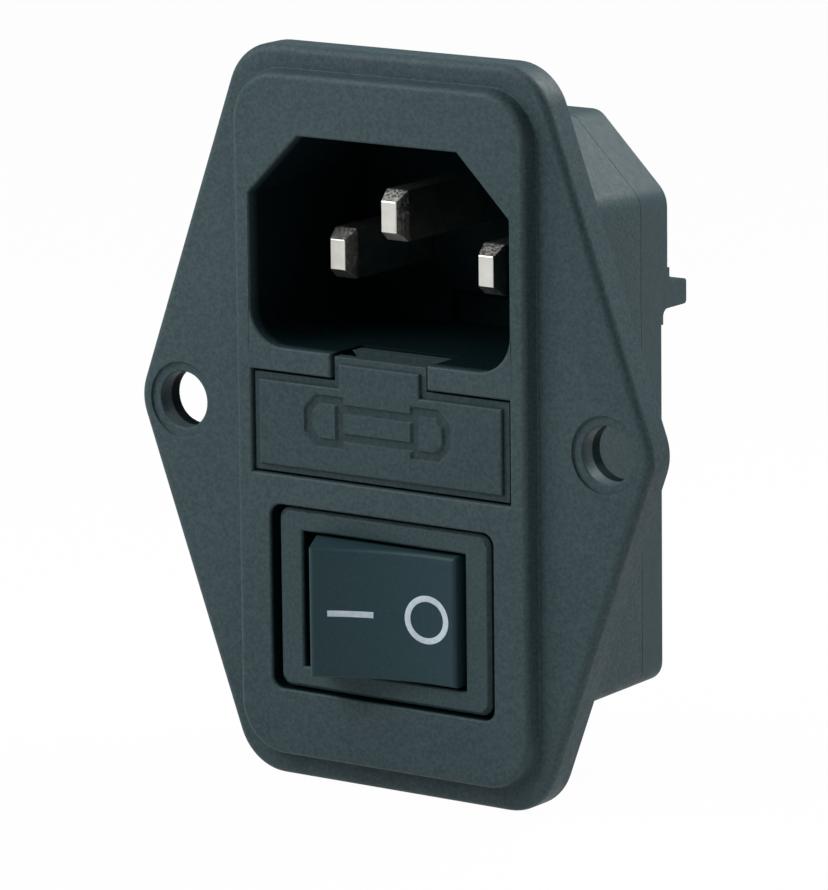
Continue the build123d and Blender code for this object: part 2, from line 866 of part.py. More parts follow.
def make_common_terminal():
    """Middle terminal, whose upper end carries the arm in a round seat."""
    post = block(
        around(0, seat_width),
        (fulcrum_y + seat_set_back, case_floor_y),
        around(switch_z, tab_width),
    )
    post -= rod(
        fulcrum_dia + 2 * fulcrum_play,
        (0, fulcrum_y, switch_z - tab_width / 2),
        (0, fulcrum_y, switch_z + tab_width / 2),
    )
    return post + push_on_tab(0, switch_z, case_floor_y, body_depth + tab_length)


def build_parts():
    """Every sub-part by its name."""
    parts = {
        "housing": make_housing(),
        "rear_cover": make_rear_cover(),
        "fuse_clip_line": make_line_clip(),
        "fuse_clip_load": make_load_clip(),
        "fuse_drawer": make_drawer(),
        "fuse_tube": make_fuse_tube(),
        "fuse_wire": make_fuse_wire(),
        "switch_case": make_switch_case(),
        "rocker": make_rocker(),
        "plunger": make_plunger(),
        "plunger_spring": make_plunger_spring(),
        "contact_arm": make_contact_arm(),
        "moving_contact": make_moving_contact(),
        "fixed_contact": make_fixed_contact(),
        "load_terminal": make_load_terminal(),
        "common_terminal": make_common_terminal(),
    }
    for name in pin_places():
        parts[name] = make_pin(name)
    for hand, side in ((-1, "left"), (1, "right")):
        parts[f"fuse_cap_{side}"] = make_fuse_cap(hand)
    return parts


os.makedirs("parts", exist_ok=True)
for part_name, part in build_parts().items():
    export_step(part, f"parts/{part_name}.step")
    print(part_name, len(part.solids()), round(part.volume, 2))
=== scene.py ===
import json
import math

import bmesh
import bpy
import numpy as np
from mathutils import Matrix, Vector

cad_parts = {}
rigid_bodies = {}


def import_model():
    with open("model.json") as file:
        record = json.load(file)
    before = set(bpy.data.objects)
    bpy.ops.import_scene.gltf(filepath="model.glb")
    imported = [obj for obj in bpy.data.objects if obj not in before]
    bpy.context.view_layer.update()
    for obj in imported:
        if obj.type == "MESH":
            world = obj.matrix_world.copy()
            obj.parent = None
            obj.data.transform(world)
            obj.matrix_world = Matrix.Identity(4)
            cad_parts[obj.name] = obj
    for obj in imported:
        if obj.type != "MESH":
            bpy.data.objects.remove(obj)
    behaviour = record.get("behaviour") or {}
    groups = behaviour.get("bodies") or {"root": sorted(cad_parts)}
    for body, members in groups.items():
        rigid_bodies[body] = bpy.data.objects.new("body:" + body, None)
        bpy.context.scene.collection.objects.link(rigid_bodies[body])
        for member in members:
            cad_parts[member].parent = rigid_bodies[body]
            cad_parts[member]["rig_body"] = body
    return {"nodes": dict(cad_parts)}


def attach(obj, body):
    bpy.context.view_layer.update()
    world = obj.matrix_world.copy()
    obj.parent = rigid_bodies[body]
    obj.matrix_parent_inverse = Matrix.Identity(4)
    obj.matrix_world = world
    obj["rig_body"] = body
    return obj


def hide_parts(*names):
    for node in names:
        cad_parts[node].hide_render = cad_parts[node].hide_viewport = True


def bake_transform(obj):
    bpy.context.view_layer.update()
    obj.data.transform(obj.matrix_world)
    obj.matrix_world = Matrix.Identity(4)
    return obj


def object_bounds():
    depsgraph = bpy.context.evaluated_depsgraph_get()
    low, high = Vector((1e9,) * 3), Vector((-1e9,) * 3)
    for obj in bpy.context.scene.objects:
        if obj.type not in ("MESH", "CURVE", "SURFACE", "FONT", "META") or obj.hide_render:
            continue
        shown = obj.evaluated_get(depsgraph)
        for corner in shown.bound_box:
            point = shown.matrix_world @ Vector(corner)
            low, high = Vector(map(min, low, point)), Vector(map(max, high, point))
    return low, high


# Looks of the power entry module: moulded shell, plated pins, printed rocker, studio.
# Sizes are in millimetres in the CAD frame and become metres in each mesh.

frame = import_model()
cad_low, cad_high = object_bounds()

MM = 0.001

# Places shared with the solids
FRONT_Y = -4.0                # foremost face of the pad and the drawer
BORDER_Y = -3.7               # lower border round the drawer's raised panel
PANEL_HALF = 11.45
PANEL_FOOT_Z = -3.85
PANEL_TOP_Z = 2.85
TAB_HALF = 3.8
TAB_TOP_Z = 4.75
ROCKER_PIVOT = (0.0, -0.6, -14.325)
ROCKER_TILT = math.radians(15.0)
ROCKER_HALF = 6.0
ROCKER_RISE = 5.4
ROCKER_HOLLOW = 0.95
SPRING_FOOT = -0.2            # on the plunger's line, from the rocker's pivot
SPRING_HEAD = 3.2

# The inlet's inside, within the walls' middle, which painted shade darkens from the mouth inward
SOCKET_HALF = 12.6
SOCKET_FOOT_Z = 5.1
SOCKET_TOP_Z = 22.6
SOCKET_CUT = 29.9             # X + Z at the cut corners
SOCKET_DIM = 1.3
# Painted shade: the colour's share, channel by channel, deep in the housing's and bezel's
# openings
OPENING_PAINTED_SHADE = (0.1, 0.17, 0.18)

# The switch's recess in the housing and its well in the bezel, which painted shade darkens
RECESS_HALF = 10.65
RECESS_RISE = 7.5
WELL_HALF = 7.8
WELL_RISE = 5.5
BEZEL_FRONT_Y = -3.65
WELL_DIM = (0.05, 0.4)        # behind the front face: shade starts, shade is full

# The screw holes, each in a stepped ring
HOLE_X = 20.0
HOLE_RADIUS = 2.25
RING_RADIUS = 3.05
RING_DRAFT = 0.02             # of the step, from its edge to its foot
RING_FLOOR_Y = -2.45
MOUTH_Y = -1.0                # ring and rounded mouth lie ahead of it
HOLE_ROUND = 0.15
# Painted shade darkens the screw holes' walls, a little past the hole's radius and between two
# depths
HOLE_MARGIN = 0.1             # of the dark wall's reach past the hole's radius
HOLE_DIM = (-1.2, -1.0)       # depths between which the wall falls dark

# Sunk lines of the drawer's face, with painted shade on their floors and on the border round the
# panel
GROOVE_DIM = (0.17, 0.195)    # behind the front face: shade starts, shade is full
# Painted shade: the colour's share on the groove floors and the border
GROOVE_PAINTED_SHADE = (0.8, 0.82, 0.83)
PANEL_EDGE = 0.16

# The pins' tips, and how far behind them the torn bevels begin and end
PIN_TIP_Y = 0.5
EARTH_TIP_Y = -2.4
TORN_START = (0.03, 0.12)
TORN_STOP = (1.25, 1.45)

# Noise, in grains to the metre
FLOW_GRAIN = 90.0
TARNISH_GRAIN = 700.0
STREAK_GRAIN = 900.0
INK_GRAIN = 3000.0
TORN_GRAIN = 5200.0

COARSE_SHARE = 3.0            # the coarse grain's size over the fine grain's
FINE_SHARE = 0.8              # of the fine grain in a moulding's mottle


# ---- materials ----

def new_material(name, rough, metal=0.0, gloss=0.5):
    """A material with its node tree, shader and object coordinates."""
    material = bpy.data.materials.new(name)
    material.use_nodes = True
    tree = material.node_tree
    shader = tree.nodes["Principled BSDF"]
    shader.inputs["Roughness"].default_value = rough
    shader.inputs["Metallic"].default_value = metal
    shader.inputs["Specular IOR Level"].default_value = gloss
    place = tree.nodes.new("ShaderNodeTexCoord").outputs["Object"]
    return material, tree, shader, place


def grain(tree, place, scale, detail=2.0, stretch=(1.0, 1.0, 1.0)):
    """Noise of this many grains to the metre, stretched along the axes."""
    mapping = tree.nodes.new("ShaderNodeMapping")
    mapping.inputs["Scale"].default_value = stretch
    tree.links.new(place, mapping.inputs["Vector"])
    noise = tree.nodes.new("ShaderNodeTexNoise")
    noise.inputs["Scale"].default_value = scale
    noise.inputs["Detail"].default_value = detail
    tree.links.new(mapping.outputs["Vector"], noise.inputs["Vector"])
    return noise.outputs["Fac"]


def blend_colours(tree, factor, dark, light, low=0.35, high=0.65):
    """A colour between two others, by a noise value."""
    ramp = tree.nodes.new("ShaderNodeValToRGB")
    ramp.color_ramp.elements[0].position = low
    ramp.color_ramp.elements[0].color = (*dark, 1.0)
    ramp.color_ramp.elements[1].position = high
    ramp.color_ramp.elements[1].color = (*light, 1.0)
    tree.links.new(factor, ramp.inputs["Fac"])
    return ramp.outputs["Color"]


def spread(tree, factor, low, high, start=0.3, stop=0.7):
    """A value between two ends, spread over a range and held at its ends."""
    node = tree.nodes.new("ShaderNodeMapRange")
    node.inputs["From Min"].default_value = start
    node.inputs["From Max"].default_value = stop
    node.inputs["To Min"].default_value = low
    node.inputs["To Max"].default_value = high
    tree.links.new(factor, node.inputs["Value"])
    return node.outputs["Result"]


def reckon(tree, operation, *values):
    """A sum, product or other operation on numbers and node outputs."""
    node = tree.nodes.new("ShaderNodeMath")
    node.operation = operation
    for socket, value in zip(node.inputs, values):
        if isinstance(value, (int, float)):
            socket.default_value = value
        else:
            tree.links.new(value, socket)
    return node.outputs[0]


def axes_of(tree, place):
    """The X, Y and Z of a place, as three node outputs."""
    apart = tree.nodes.new("ShaderNodeSeparateXYZ")
    tree.links.new(place, apart.inputs[0])
    return apart.outputs


def relief(tree, height, depth_mm, strength, under=None):
    """Bump of this depth, laid over another bump where one is given."""
    bump = tree.nodes.new("ShaderNodeBump")
    bump.inputs["Distance"].default_value = depth_mm * MM
    bump.inputs["Strength"].default_value = strength
    tree.links.new(height, bump.inputs["Height"])
    if under is not None:
        tree.links.new(under, bump.inputs["Normal"])
    return bump.outputs["Normal"]


def in_box(tree, place, half, foot, top, start, full):
    """From 0 to 1 between two depths in a box about X = 0, and 0 beside the box."""
    x, y, z = axes_of(tree, place)
    within = reckon(tree, "LESS_THAN", reckon(tree, "ABSOLUTE", x), half * MM)
    within = reckon(tree, "MULTIPLY", within, reckon(tree, "GREATER_THAN", z, foot * MM))
    within = reckon(tree, "MULTIPLY", within, reckon(tree, "LESS_THAN", z, top * MM))
    return reckon(tree, "MULTIPLY", within, spread(tree, y, 0.0, 1.0, start * MM, full * MM))


def in_inlet(tree, place):
    """How far into the inlet, with its cut corners, a place lies, from 0 to 1, for its painted
    shade.
    """
    x, _, z = axes_of(tree, place)
    slope = reckon(tree, "ADD", reckon(tree, "ABSOLUTE", x), z)
    socket = in_box(tree, place, SOCKET_HALF, SOCKET_FOOT_Z, SOCKET_TOP_Z, FRONT_Y,
                    FRONT_Y + SOCKET_DIM)
    return reckon(tree, "MULTIPLY", socket, reckon(tree, "LESS_THAN", slope, SOCKET_CUT * MM))


def in_screw_hole(tree, place):
    """How far into a screw hole a place lies, from 0 to 1, for its painted shade."""
    x, y, z = axes_of(tree, place)
    beside = reckon(tree, "SUBTRACT", reckon(tree, "ABSOLUTE", x), HOLE_X * MM)
    squares = reckon(tree, "ADD", reckon(tree, "POWER", beside, 2.0),
                     reckon(tree, "POWER", z, 2.0))
    within = reckon(tree, "LESS_THAN", squares, ((HOLE_RADIUS + HOLE_MARGIN) * MM) ** 2)
    depth = spread(tree, y, 0.0, 1.0, HOLE_DIM[0] * MM, HOLE_DIM[1] * MM)
    return reckon(tree, "MULTIPLY", within, depth)


def round_rocker(tree, place, half, rise, front_y):
    """How far into an opening round the rocker a place lies, from 0 to 1, for its painted shade.
    """
    middle = ROCKER_PIVOT[2]
    return in_box(tree, place, half, middle - rise, middle + rise, front_y + WELL_DIM[0],
                  front_y + WELL_DIM[1])


def housing_painted_shade(tree, place):
    """How far into the inlet, the switch's recess or a screw hole a place lies, for their
    painted shade.
    """
    recess = round_rocker(tree, place, RECESS_HALF, RECESS_RISE, FRONT_Y)
    opening = reckon(tree, "MAXIMUM", in_inlet(tree, place), recess)
    return reckon(tree, "MAXIMUM", in_screw_hole(tree, place), opening)


def well_painted_shade(tree, place):
    """How far into the bezel's well a place lies, for its painted shade."""
    return round_rocker(tree, place, WELL_HALF, WELL_RISE, BEZEL_FRONT_Y)


def groove_painted_shade(tree, place):
    """How far below the drawer's front face a place lies, from 0 to 1, for the painted shade on
    the sign's groove floors and the border.
    """
    _, y, z = axes_of(tree, place)
    under = reckon(tree, "LESS_THAN", z, (TAB_TOP_Z - PANEL_EDGE) * MM)
    depth = spread(tree, y, 0.0, 1.0, (FRONT_Y + GROOVE_DIM[0]) * MM,
                   (FRONT_Y + GROOVE_DIM[1]) * MM)
    return reckon(tree, "MULTIPLY", under, depth)


def shaded(tree, colour, depth, shade):
    """Painted shade: a colour that falls to a share of itself, channel by channel, with the
    depth.
    """
    mix = tree.nodes.new("ShaderNodeMix")
    mix.data_type = "RGBA"
    mix.blend_type = "MULTIPLY"
    tree.links.new(depth, mix.inputs["Factor"])
    tree.links.new(colour, mix.inputs[6])
    mix.inputs[7].default_value = (*shade, 1.0)
    return mix.outputs[2]


def plastic(name, dark, light, rough, grain_mm, depth_mm, strength, gloss=0.2, painted_shade_mask=None,
            shade=OPENING_PAINTED_SHADE):
    """Moulded plastic: spark-eroded grain, mottled flow and uneven gloss.

    Painted shade darkens sunk places: colour and gloss fall together with the mask's depth.
    """
    material, tree, shader, place = new_material(name, rough, gloss=gloss)
    flow = grain(tree, place, FLOW_GRAIN, 3.0)
    fine = grain(tree, place, 1.0 / (grain_mm * MM), 3.0)
    apart = reckon(tree, "SUBTRACT", fine, flow)
    mottle = reckon(tree, "MULTIPLY_ADD", apart, FINE_SHARE, flow)
    colour = blend_colours(tree, mottle, dark, light)
    # Painted shade in recesses: colour and gloss fall with the mask's depth
    if painted_shade_mask is not None:
        depth = painted_shade_mask(tree, place)
        colour = shaded(tree, colour, depth, shade)
        shaded_gloss = spread(tree, depth, gloss, gloss * shade[0], 0.0, 1.0)
        tree.links.new(shaded_gloss, shader.inputs["Specular IOR Level"])
    tree.links.new(colour, shader.inputs["Base Color"])
    coarse = grain(tree, place, 1.0 / (COARSE_SHARE * grain_mm * MM), 2.0)
    tree.links.new(spread(tree, coarse, rough - 0.05, rough + 0.07), shader.inputs["Roughness"])
    under = relief(tree, coarse, depth_mm * 1.5, strength)
    tree.links.new(relief(tree, fine, depth_mm, strength, under), shader.inputs["Normal"])
    return material


def metal(name, dark, light, rough, along=(1.0, 0.12, 1.0), line_mm=0.12, strength=0.25,
          tip_y=None):
    """Drawn or plated metal: fine lines along one axis and a little tarnish.

    A pin's tip has torn bevels, rougher than its end face and its flanks.
    """
    material, tree, shader, place = new_material(name, rough, 1.0)
    tarnish = grain(tree, place, TARNISH_GRAIN, 4.0)
    tree.links.new(blend_colours(tree, tarnish, dark, light), shader.inputs["Base Color"])
    lines = grain(tree, place, 1.0 / (line_mm * MM), 2.0, along)
    uneven = spread(tree, lines, rough - 0.02, rough + 0.04)
    if tip_y is not None:
        _, y, _ = axes_of(tree, place)
        start, full = [(tip_y + reach) * MM for reach in TORN_START]
        fade, stop = [(tip_y + reach) * MM for reach in TORN_STOP]
        bevels = reckon(tree, "MULTIPLY", spread(tree, y, 0.0, 1.0, start, full),
                        spread(tree, y, 1.0, 0.0, fade, stop))
        torn = spread(tree, grain(tree, place, TORN_GRAIN, 3.0), 0.02, 0.3, 0.38, 0.6)
        uneven = reckon(tree, "ADD", uneven, reckon(tree, "MULTIPLY", bevels, torn))
    tree.links.new(uneven, shader.inputs["Roughness"])
    tree.links.new(relief(tree, lines, 0.008, strength), shader.inputs["Normal"])
    return material


def clear_glass():
    """Glass of the fuse tube, with faint drawing streaks."""
    material, tree, shader, place = new_material("fuse_glass", 0.03)
    shader.inputs["Base Color"].default_value = (0.93, 0.97, 0.96, 1.0)
    shader.inputs["Transmission Weight"].default_value = 1.0
    shader.inputs["IOR"].default_value = 1.5
    streaks = grain(tree, place, STREAK_GRAIN, 2.0, (0.1, 1.0, 1.0))
    tree.links.new(relief(tree, streaks, 0.01, 0.15), shader.inputs["Normal"])
    return material


def print_ink():
    """Pale pad-printed ink, a little uneven in cover."""
    material, tree, shader, place = new_material("print_ink", 0.5)
    cover = grain(tree, place, INK_GRAIN, 2.0)
    tint = blend_colours(tree, cover, (0.54, 0.64, 0.72), (0.62, 0.71, 0.79))
    tree.links.new(tint, shader.inputs["Base Color"])
    tree.links.new(relief(tree, cover, 0.01, 0.3), shader.inputs["Normal"])
    return material


FRONT_GRAIN = {"rough": 0.52, "grain_mm": 0.26, "depth_mm": 0.02, "strength": 0.9}
PLATING = {"dark": (0.68, 0.67, 0.63), "light": (0.78, 0.77, 0.72), "rough": 0.3,
           "line_mm": 0.3, "strength": 0.05}

# The housing, drawer and bezel carry painted shade in their openings and grooves
housing_plastic = plastic(
    "housing_moulding", (0.032, 0.057, 0.065), (0.057, 0.089, 0.097), **FRONT_GRAIN,
    painted_shade_mask=housing_painted_shade,
)
drawer_plastic = plastic(
    "drawer_moulding", (0.027, 0.049, 0.056), (0.048, 0.076, 0.084), **FRONT_GRAIN,
    painted_shade_mask=groove_painted_shade, shade=GROOVE_PAINTED_SHADE,
)
bezel_plastic = plastic(
    "bezel_moulding", (0.031, 0.056, 0.063), (0.053, 0.087, 0.095), **FRONT_GRAIN,
    painted_shade_mask=well_painted_shade,
)
cover_plastic = plastic(
    "cover_moulding", (0.037, 0.064, 0.072), (0.049, 0.079, 0.087), rough=0.52, grain_mm=0.28,
    depth_mm=0.018, strength=0.5,
)
smooth_plastic = plastic(
    "smooth_moulding", (0.020, 0.051, 0.060), (0.028, 0.060, 0.070), rough=0.42, grain_mm=0.2,
    depth_mm=0.006, strength=0.3, gloss=0.15,
)
plunger_plastic = plastic(
    "plunger_moulding", (0.66, 0.64, 0.56), (0.72, 0.7, 0.62), rough=0.4, grain_mm=0.15,
    depth_mm=0.004, strength=0.3,
)
nickel = metal("nickel_plate", **PLATING, tip_y=PIN_TIP_Y)
earth_nickel = metal("earth_nickel_plate", **PLATING, tip_y=EARTH_TIP_Y)
cap_nickel = metal("cap_plate", (0.66, 0.65, 0.62), (0.82, 0.81, 0.79), 0.24, (0.12, 1.0, 1.0))
brass = metal("rolled_brass", (0.66, 0.5, 0.25), (0.8, 0.64, 0.36), 0.32)
silver = metal("contact_silver", (0.78, 0.78, 0.76), (0.9, 0.9, 0.88), 0.22)
spring_steel = metal("spring_wire", (0.42, 0.42, 0.43), (0.58, 0.58, 0.6), 0.3)
fuse_wire_metal = metal("fuse_wire_metal", (0.6, 0.6, 0.6), (0.75, 0.75, 0.75), 0.28)
glass = clear_glass()
ink = print_ink()


# ---- pieces ----

NEAR = 0.01                   # how far a corner may lie off the line it is looked for on
WELD = 0.0008                 # corners closer than this become one
FLAT_DEGREES = 0.4            # neighbouring faces that turn less than this become one
SOFT_DEGREES = 28.0           # edges that turn more than this are softened
CRISP_BEHIND = 11.5           # the housing's rear edges, at the rear cover's seam


def placed(name, data):
    """A new object of the scene, round a mesh, lamp or camera."""
    obj = bpy.data.objects.new(name, data)
    bpy.context.scene.collection.objects.link(obj)
    return obj


def fill_openings(skin):
    """Close each open rim of a skin with one face."""
    rims = [edge for edge in skin.edges if edge.is_boundary]
    bmesh.ops.holes_fill(skin, edges=rims, sides=0)


def piece(name, points, faces, material, body, slot, smooth_angle=30.0):
    """A new closed piece from points in millimetres, shaded smooth below an angle."""
    mesh = bpy.data.meshes.new(name)
    mesh.from_pydata((points * MM).tolist(), [], faces.tolist())
    mesh.validate()
    skin = bmesh.new()
    skin.from_mesh(mesh)
    fill_openings(skin)
    skin.to_mesh(mesh)
    skin.free()
    mesh.materials.append(material)
    obj = placed(name, mesh)
    smooth(obj, smooth_angle)
    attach(obj, body)


def smooth(obj, angle):
    """Smooth faces, with edges over this angle kept crisp."""
    mesh = obj.data
    mesh.polygons.foreach_set("use_smooth", np.ones(len(mesh.polygons), bool))
    mesh.set_sharp_from_angle(angle=math.radians(angle))


def merged_solid(node, drop=None):
    """A node's triangles joined into one skin, flat areas as single faces."""
    source = frame["nodes"][node].data
    places = np.zeros(len(source.vertices) * 3)
    source.vertices.foreach_get("co", places)
    used = np.zeros(len(source.loops), int)
    source.loops.foreach_get("vertex_index", used)
    points, index = np.unique(
        np.round(places.reshape(-1, 3) / MM, 4), axis=0, return_inverse=True
    )
    faces = index.ravel()[used].reshape(-1, 3)
    if drop is not None:
        faces = faces[~drop(points[faces])]
    whole = (faces != np.roll(faces, 1, axis=1)).all(axis=1)
    skin = bmesh.new()
    verts = [skin.verts.new(point) for point in points * MM]
    for face in faces[whole]:
        corners = [verts[i] for i in face]
        if skin.faces.get(corners) is None:
            skin.faces.new(corners)
    bmesh.ops.remove_doubles(skin, verts=skin.verts, dist=WELD * MM)
    bmesh.ops.dissolve_limit(
        skin, angle_limit=math.radians(FLAT_DEGREES), verts=skin.verts, edges=skin.edges
    )
    many = [face for face in skin.faces if len(face.verts) > 4]
    bmesh.ops.triangulate(skin, faces=many, quad_method="BEAUTY", ngon_method="BEAUTY")
    loose = [v for v in skin.verts if not v.link_faces]
    bmesh.ops.delete(skin, geom=loose, context="VERTS")
    return skin


def step_screw_holes(skin):
    """Each screw hole's ring with a low step, a flat floor and a rounded mouth.

    The rows are circles about the hole's axis: the step's foot, then the floor's inner edge
    and a quarter round of HOLE_ROUND that ends at the hole's own wall.
    """
    turns = np.radians([0.0, 22.5, 45.0, 67.5])
    middle_y, middle_radius = RING_FLOOR_Y + HOLE_ROUND, HOLE_RADIUS + HOLE_ROUND
    rows = [(RING_RADIUS - RING_DRAFT, RING_FLOOR_Y)]
    rows += [(middle_radius - HOLE_ROUND * math.sin(t), middle_y - HOLE_ROUND * math.cos(t))
             for t in turns]
    for side in (-1, 1):
        axis = side * HOLE_X * MM

        def reach(v):
            return math.hypot(v.co.x - axis, v.co.z) / MM

        ring = [f for f in skin.faces
                if all(reach(v) < RING_RADIUS + NEAR and v.co.y < MOUTH_Y * MM for v in f.verts)]
        bmesh.ops.delete(skin, geom=ring, context="FACES")
        rims = [e for e in skin.edges
                if e.is_boundary and all(reach(v) < RING_RADIUS + NEAR for v in e.verts)]
        loop = [e for e in rims if reach(e.verts[0]) > RING_RADIUS - NEAR]
        wall = [e for e in rims if reach(e.verts[0]) < HOLE_RADIUS + NEAR]
        for vert in {v for e in wall for v in e.verts}:
            vert.co.y = middle_y * MM
        for radius, y in rows:
            made = bmesh.ops.extrude_edge_only(skin, edges=loop)["geom"]
            loop = [g for g in made if isinstance(g, bmesh.types.BMEdge)]
            for vert in {v for e in loop for v in e.verts}:
                turn = math.atan2(vert.co.z, vert.co.x - axis)
                vert.co = (axis + radius * MM * math.cos(turn), y * MM,
                           radius * MM * math.sin(turn))
        bmesh.ops.bridge_loops(skin, edges=loop + wall)
    bmesh.ops.recalc_face_normals(skin, faces=skin.faces)


def dress(node, material, edge_mm, drop=None, recut=None, crisp_behind=math.inf,
          between=None):
    """A piece that stands for a node: its own skin, with softened edges.

    First, triangles can be dropped and the skin recut. Edges that lie wholly behind one
    depth stay crisp, as at a closed seam. A piece given between two bodies does not bend:
    it stays where it is made and joins no body, and the bodies and places given are not used.
    """
    skin = merged_solid(node, drop)
    if recut is not None:
        recut(skin)
    soft = skin.edges.layers.float.new("bevel_weight_edge")
    for edge in skin.edges:
        ahead = min(v.co.y for v in edge.verts) < crisp_behind * MM
        turned = edge.is_manifold and edge.calc_face_angle(0.0) > math.radians(SOFT_DEGREES)
        edge[soft] = 1.0 if ahead and turned else 0.0
    fill_openings(skin)
    mesh = bpy.data.meshes.new(node + "_skin")
    skin.to_mesh(mesh)
    skin.free()
    mesh.materials.append(material)
    obj = placed(mesh.name, mesh)
    smooth(obj, SOFT_DEGREES)
    if edge_mm:
        bevel = obj.modifiers.new("soft_edges", "BEVEL")
        bevel.width = edge_mm * MM
        bevel.segments = 3
        bevel.limit_method = "WEIGHT"
        bevel.use_clamp_overlap = False
        bevel.harden_normals = True
    weigh = obj.modifiers.new("flat_faces", "WEIGHTED_NORMAL")
    weigh.keep_sharp = True
    if between is None:
        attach(obj, frame["nodes"][node]["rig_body"])
    else:
        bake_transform(obj)
    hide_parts(node)


def on_plunger_line(reach):
    """A place this far behind the rocker's pivot on the plunger's line, in metres."""
    x, y, z = ROCKER_PIVOT
    place = (x - reach * math.sin(ROCKER_TILT), y + reach * math.cos(ROCKER_TILT), z)
    return tuple(value * MM for value in place)


def in_drawer_panel(triangles):
    """Triangles of the drawer's raised panel, which is made again with its relief."""
    return (triangles[:, :, 1] < FRONT_Y + NEAR).any(axis=1)


dress("housing", housing_plastic, 0.07, recut=step_screw_holes,
      crisp_behind=CRISP_BEHIND)
dress("rear_cover", cover_plastic, 0)
dress("fuse_drawer", drawer_plastic, 0.07, drop=in_drawer_panel)
dress("switch_case", bezel_plastic, 0.06)
dress("rocker", smooth_plastic, 0.08)
for pin in ("line_pin", "neutral_pin"):
    dress(pin, nickel, 0.1)
dress("earth_pin", earth_nickel, 0.1)
for part in ("fuse_clip_line", "fuse_clip_load", "common_terminal", "load_terminal"):
    dress(part, brass, 0.05)
dress("contact_arm", brass, 0.04)
for part in ("moving_contact", "fixed_contact"):
    dress(part, silver, 0.08)
for part in ("fuse_cap_left", "fuse_cap_right"):
    dress(part, cap_nickel, 0.08)
dress("fuse_tube", glass, 0)
dress("fuse_wire", fuse_wire_metal, 0)
dress("plunger", plunger_plastic, 0)
dress("plunger_spring", spring_steel, 0,
      between=("rocker", "plunger", on_plunger_line(SPRING_FOOT), on_plunger_line(SPRING_HEAD)))


# ---- raised panel of the drawer, with the fuse sign cut in ----

SIGN_X = -0.2
SIGN_Z = 0.1
SIGN_DEPTH = 0.2
SIGN_WALL = 0.15
SIGN_LAP = 0.35               # of the bars over the rings
SIGN_STROKE = 0.7
CAP_INNER = 3.2
CAP_OUTER = 6.86
CAP_HALF = 2.05
CAP_CUT = 1.1
BAR_HALF = 1.47
GRID_STEP = 0.12
PANEL_LAP = 0.05              # of the panel's rim under the border


def lines_through(stops):
    """Grid lines at each stop and evenly between them, no further apart than GRID_STEP."""
    stops = np.unique(np.round(stops, 4))
    runs = [
        np.linspace(a, b, max(2, int(math.ceil((b - a) / GRID_STEP)) + 1))[:-1]
        for a, b in zip(stops[:-1], stops[1:])
    ]
    return np.concatenate([*runs, [stops[-1]]])


def box_distance(x, z, half_x, half_z):
    """How far outside a box centred on the origin, and negative inside."""
    return np.maximum(np.abs(x) - half_x, np.abs(z) - half_z)


def sign_depth(x, z):
    """Depth of the fuse sign: two cut-cornered rings for the caps, two bars between."""
    x, z = np.abs(x - SIGN_X), z - SIGN_Z
    middle, half = (CAP_INNER + CAP_OUTER) / 2, (CAP_OUTER - CAP_INNER) / 2
    corner = (x - CAP_OUTER + np.abs(z) - CAP_HALF + CAP_CUT) / math.sqrt(2.0)
    outer = np.maximum(box_distance(x - middle, z, half, CAP_HALF), corner)
    inner = np.maximum(
        box_distance(x - middle, z, half - SIGN_STROKE, CAP_HALF - SIGN_STROKE),
        corner + SIGN_STROKE,
    )
    ring = np.maximum(outer, -inner)
    bars = np.maximum(
        np.abs(np.abs(z) - (BAR_HALF - SIGN_STROKE / 2)) - SIGN_STROKE / 2,
        x - CAP_INNER - SIGN_LAP,
    )
    inside = np.clip(0.5 - np.minimum(ring, bars) / SIGN_WALL, 0.0, 1.0)
    return SIGN_DEPTH * inside * inside * (3.0 - 2.0 * inside)


def sign_stops(middle, reaches):
    """Grid lines at the foot, middle and top of the sign's walls, both sides of its middle."""
    return [middle + side * (reach + part * SIGN_WALL / 2)
            for reach in reaches for side in (-1, 1) for part in (-1, 0, 1)]


def panel_grid():
    """X and Z of the panel's grid, with its rims and the sign's walls on grid lines."""
    rim = PANEL_EDGE * (1.0 - np.cos(np.radians([0.0, 22.0, 45.0, 67.0, 90.0])))
    stops_x = sign_stops(
        SIGN_X, (CAP_INNER, CAP_INNER + SIGN_STROKE, CAP_OUTER - SIGN_STROKE, CAP_OUTER)
    )
    stops_x += [side * (half - r)
                for half in (PANEL_HALF, TAB_HALF) for side in (-1, 1) for r in rim]
    stops_z = sign_stops(
        SIGN_Z, (BAR_HALF, BAR_HALF - SIGN_STROKE, CAP_HALF, CAP_HALF - SIGN_STROKE)
    )
    stops_z += [PANEL_FOOT_Z + r for r in rim]
    stops_z += [height - r for height in (PANEL_TOP_Z, TAB_TOP_Z) for r in rim]
    return np.meshgrid(lines_through(stops_x), lines_through(stops_z))


def inside_panel(x, z):
    """How far inside the raised T's outline."""
    side = np.where(z > PANEL_TOP_Z, TAB_HALF, PANEL_HALF) - np.abs(x)
    notch = np.hypot(
        np.maximum(TAB_HALF - np.abs(x), 0.0), np.maximum(PANEL_TOP_Z - z, 0.0)
    )
    top = np.where(np.abs(x) <= TAB_HALF, TAB_TOP_Z - z, PANEL_TOP_Z - z)
    inward = np.minimum(np.minimum(side, top), z - PANEL_FOOT_Z)
    return np.where((np.abs(x) <= TAB_HALF) & (z <= PANEL_TOP_Z),
                    np.minimum(inward, notch), inward)


